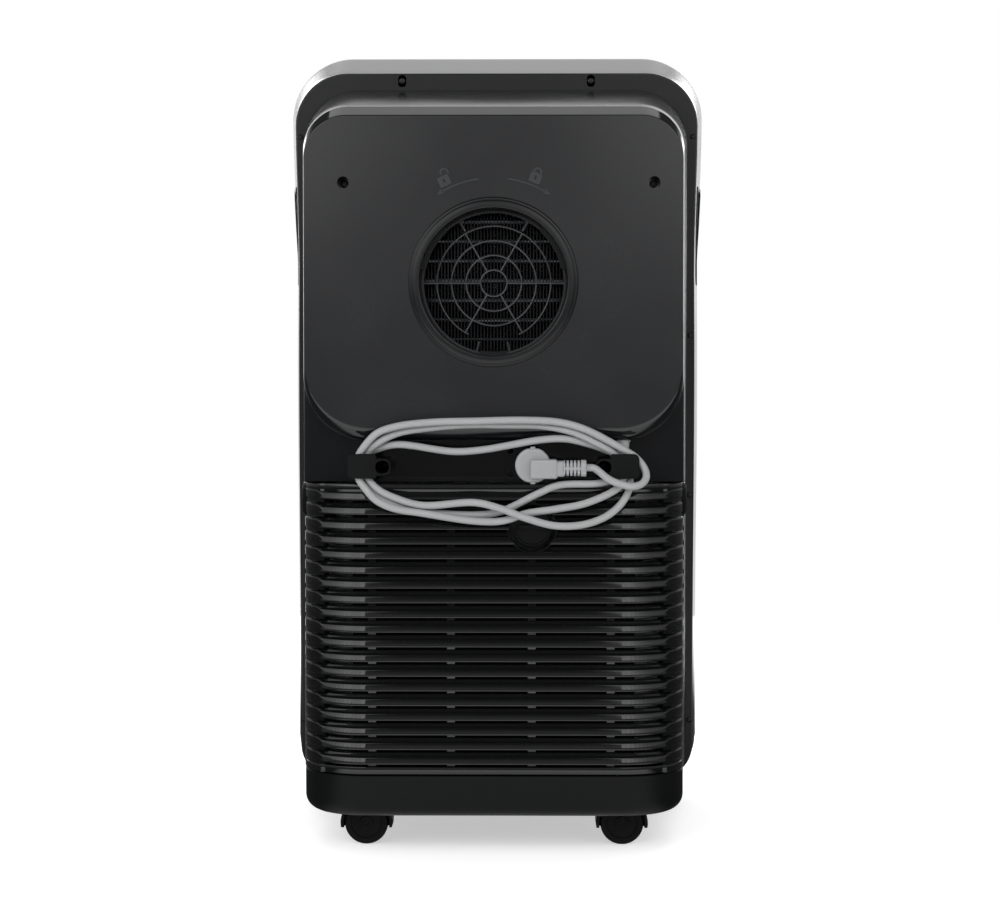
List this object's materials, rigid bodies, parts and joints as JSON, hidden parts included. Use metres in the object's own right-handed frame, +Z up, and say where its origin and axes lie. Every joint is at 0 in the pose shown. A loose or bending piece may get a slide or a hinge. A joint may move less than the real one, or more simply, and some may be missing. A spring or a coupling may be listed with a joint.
{
  "type": "portable air conditioner",
  "caption": "Upright portable air conditioner on swivel casters with a rear hose outlet, a wrap-around louvred rear grille, a front air flap and a wound mains lead.",
  "frame": {"origin": "on the floor under the middle of the unit's width and depth", "axes": "+Z up; the control panel and air discharge face -Y, the hose outlet and the lead face +Y; +X to the right when looking along +Y"},
  "size_m": [0.469, 0.4077, 0.852],
  "materials": {
    "rear_case": "fine grained",
    "front_case": "satin",
    "grille_plastic": "satin",
    "tray_plastic": "satin",
    "panel": "gloss",
    "key_plastic": "satin",
    "grip_plastic": "grained",
    "guard_plastic": "satin",
    "coil_metal": "satin",
    "copper": "dull copper",
    "sheet_steel": "galvanised",
    "housing_plastic": "satin",
    "motor_metal": "satin",
    "compressor_paint": "semi-gloss",
    "rubber": "matte",
    "pale_plastic": "satin",
    "filter_plastic": "fine mesh",
    "cord_pvc": "satin vinyl",
    "plug_pvc": "satin vinyl",
    "screw_steel": "black oxide",
    "caster_plastic": "satin",
    "wheel_plastic": "satin"
  },
  "bodies": {
    "case": {"base_tray": "tray_plastic", "rear_cover": "rear_case", "front_frame": "front_case", "front_fascia": "front_case", "control_panel": "panel", "display_window": "panel", "hand_grips": "grip_plastic", "outlet_ring": "rear_case", "outlet_guard": "guard_plastic", "condenser_fins": "coil_metal", "condenser_tubes": "copper", "evaporator_coil": "coil_metal", "rear_fan_housing": "housing_plastic", "rear_fan_motor": "motor_metal", "front_fan_housing": "housing_plastic", "front_fan_motor": "motor_metal", "partition": "sheet_steel", "compressor": "compressor_paint", "accumulator": "compressor_paint", "compressor_feet": "rubber", "discharge_pipe": "copper", "suction_pipe": "copper", "control_box": "sheet_steel", "water_pump": "pale_plastic", "drain_spigot": "rear_case", "hook_left": "tray_plastic", "hook_right": "tray_plastic", "cord_gland": "plug_pvc", "power_cord": "cord_pvc", "plug": "plug_pvc", "cord_boot": "plug_pvc", "case_screws": "screw_steel"},
    "grille": {"rear_grille": "grille_plastic", "air_filter": "filter_plastic"},
    "cap": {"drain_cap": "grille_plastic"},
    "flap": {"flap": "front_case"},
    "vane_1": {"vane_1": "guard_plastic"},
    "vane_2": {"vane_2": "guard_plastic"},
    "vane_3": {"vane_3": "guard_plastic"},
    "vane_4": {"vane_4": "guard_plastic"},
    "vane_link": {"vane_link": "guard_plastic"},
    "rear_fan": {"rear_fan_wheel": "housing_plastic"},
    "front_fan": {"front_fan_wheel": "housing_plastic"},
    "key_1": {"key_1": "key_plastic"},
    "key_2": {"key_2": "key_plastic"},
    "key_3": {"key_3": "key_plastic"},
    "key_4": {"key_4": "key_plastic"},
    "key_5": {"key_5": "key_plastic"},
    "caster_rear_left": {"caster_rear_left": "caster_plastic"},
    "wheel_rear_left_a": {"wheel_rear_left_a": "wheel_plastic"},
    "wheel_rear_left_b": {"wheel_rear_left_b": "wheel_plastic"},
    "caster_rear_right": {"caster_rear_right": "caster_plastic"},
    "wheel_rear_right_a": {"wheel_rear_right_a": "wheel_plastic"},
    "wheel_rear_right_b": {"wheel_rear_right_b": "wheel_plastic"},
    "caster_front_left": {"caster_front_left": "caster_plastic"},
    "wheel_front_left_a": {"wheel_front_left_a": "wheel_plastic"},
    "wheel_front_left_b": {"wheel_front_left_b": "wheel_plastic"},
    "caster_front_right": {"caster_front_right": "caster_plastic"},
    "wheel_front_right_a": {"wheel_front_right_a": "wheel_plastic"},
    "wheel_front_right_b": {"wheel_front_right_b": "wheel_plastic"}
  },
  "joints": [
    {"name": "grille_pull", "type": "slide", "parent": "case", "child": "grille", "axis": [0, 1, 0], "range_m": [0, 0.03], "deforming": ["power_cord"]},
    {"name": "cap_turn", "type": "hinge", "parent": "case", "child": "cap", "pos_m": [-0.0395, 0.164, 0.333], "axis": [0, 1, 0], "range_deg": [0, 90]},
    {"name": "flap_tilt", "type": "hinge", "parent": "case", "child": "flap", "pos_m": [0, -0.194, 0.664], "axis": [1, 0, 0], "range_deg": [0, 75]},
    {"name": "vane_1_turn", "type": "hinge", "parent": "case", "child": "vane_1", "pos_m": [-0.099, -0.168, 0.706], "axis": [0, 0, 1], "range_deg": [-35, 35]},
    {"name": "vane_2_turn", "type": "hinge", "parent": "case", "child": "vane_2", "pos_m": [-0.033, -0.168, 0.706], "axis": [0, 0, 1], "range_deg": [-35, 35]},
    {"name": "vane_3_turn", "type": "hinge", "parent": "case", "child": "vane_3", "pos_m": [0.033, -0.168, 0.706], "axis": [0, 0, 1], "range_deg": [-35, 35]},
    {"name": "vane_4_turn", "type": "hinge", "parent": "case", "child": "vane_4", "pos_m": [0.099, -0.168, 0.706], "axis": [0, 0, 1], "range_deg": [-35, 35]},
    {"name": "vane_link_slide", "type": "slide", "parent": "case", "child": "vane_link", "axis": [1, 0, 0], "range_m": [-0.007, 0.007]},
    {"name": "rear_fan_spin", "type": "hinge", "parent": "case", "child": "rear_fan", "pos_m": [0, 0.054, 0.5825], "axis": [0, 1, 0], "continuous": true},
    {"name": "front_fan_spin", "type": "hinge", "parent": "case", "child": "front_fan", "pos_m": [0, -0.086, 0.585], "axis": [0, 1, 0], "continuous": true},
    {"name": "key_1_press", "type": "slide", "parent": "case", "child": "key_1", "axis": [0, 0.8805, -0.4741], "range_m": [0, 0.0012], "stiffness_N_per_m": 400, "springref_m": -0.001},
    {"name": "key_2_press", "type": "slide", "parent": "case", "child": "key_2", "axis": [0, 0.8805, -0.4741], "range_m": [0, 0.0012], "stiffness_N_per_m": 400, "springref_m": -0.001},
    {"name": "key_3_press", "type": "slide", "parent": "case", "child": "key_3", "axis": [0, 0.8805, -0.4741], "range_m": [0, 0.0012], "stiffness_N_per_m": 400, "springref_m": -0.001},
    {"name": "key_4_press", "type": "slide", "parent": "case", "child": "key_4", "axis": [0, 0.8805, -0.4741], "range_m": [0, 0.0012], "stiffness_N_per_m": 400, "springref_m": -0.001},
    {"name": "key_5_press", "type": "slide", "parent": "case", "child": "key_5", "axis": [0, 0.8805, -0.4741], "range_m": [0, 0.0012], "stiffness_N_per_m": 400, "springref_m": -0.001},
    {"name": "caster_rear_left_swivel", "type": "hinge", "parent": "case", "child": "caster_rear_left", "pos_m": [0.12, 0.12, 0.06], "axis": [0, 0, 1], "continuous": true},
    {"name": "wheel_rear_left_a_roll", "type": "hinge", "parent": "caster_rear_left", "child": "wheel_rear_left_a", "pos_m": [0.133, 0.129, 0.0225], "axis": [0, 1, 0], "continuous": true},
    {"name": "wheel_rear_left_b_roll", "type": "hinge", "parent": "caster_rear_left", "child": "wheel_rear_left_b", "pos_m": [0.133, 0.111, 0.0225], "axis": [0, 1, 0], "continuous": true},
    {"name": "caster_rear_right_swivel", "type": "hinge", "parent": "case", "child": "caster_rear_right", "pos_m": [-0.12, 0.12, 0.06], "axis": [0, 0, 1], "continuous": true},
    {"name": "wheel_rear_right_a_roll", "type": "hinge", "parent": "caster_rear_right", "child": "wheel_rear_right_a", "pos_m": [-0.133, 0.129, 0.0225], "axis": [0, 1, 0], "continuous": true},
    {"name": "wheel_rear_right_b_roll", "type": "hinge", "parent": "caster_rear_right", "child": "wheel_rear_right_b", "pos_m": [-0.133, 0.111, 0.0225], "axis": [0, 1, 0], "continuous": true},
    {"name": "caster_front_left_swivel", "type": "hinge", "parent": "case", "child": "caster_front_left", "pos_m": [0.12, -0.092, 0.06], "axis": [0, 0, 1], "continuous": true},
    {"name": "wheel_front_left_a_roll", "type": "hinge", "parent": "caster_front_left", "child": "wheel_front_left_a", "pos_m": [0.133, -0.083, 0.0225], "axis": [0, 1, 0], "continuous": true},
    {"name": "wheel_front_left_b_roll", "type": "hinge", "parent": "caster_front_left", "child": "wheel_front_left_b", "pos_m": [0.133, -0.101, 0.0225], "axis": [0, 1, 0], "continuous": true},
    {"name": "caster_front_right_swivel", "type": "hinge", "parent": "case", "child": "caster_front_right", "pos_m": [-0.12, -0.092, 0.06], "axis": [0, 0, 1], "continuous": true},
    {"name": "wheel_front_right_a_roll", "type": "hinge", "parent": "caster_front_right", "child": "wheel_front_right_a", "pos_m": [-0.133, -0.083, 0.0225], "axis": [0, 1, 0], "continuous": true},
    {"name": "wheel_front_right_b_roll", "type": "hinge", "parent": "caster_front_right", "child": "wheel_front_right_b", "pos_m": [-0.133, -0.101, 0.0225], "axis": [0, 1, 0], "continuous": true}
  ],
  "couplings": [
    {"joint": "vane_2_turn", "follows": "vane_1_turn", "ratio": 1},
    {"joint": "vane_3_turn", "follows": "vane_1_turn", "ratio": 1},
    {"joint": "vane_4_turn", "follows": "vane_1_turn", "ratio": 1},
    {"joint": "vane_link_slide", "follows": "vane_1_turn", "m_per_rad": -0.0107}
  ]
}
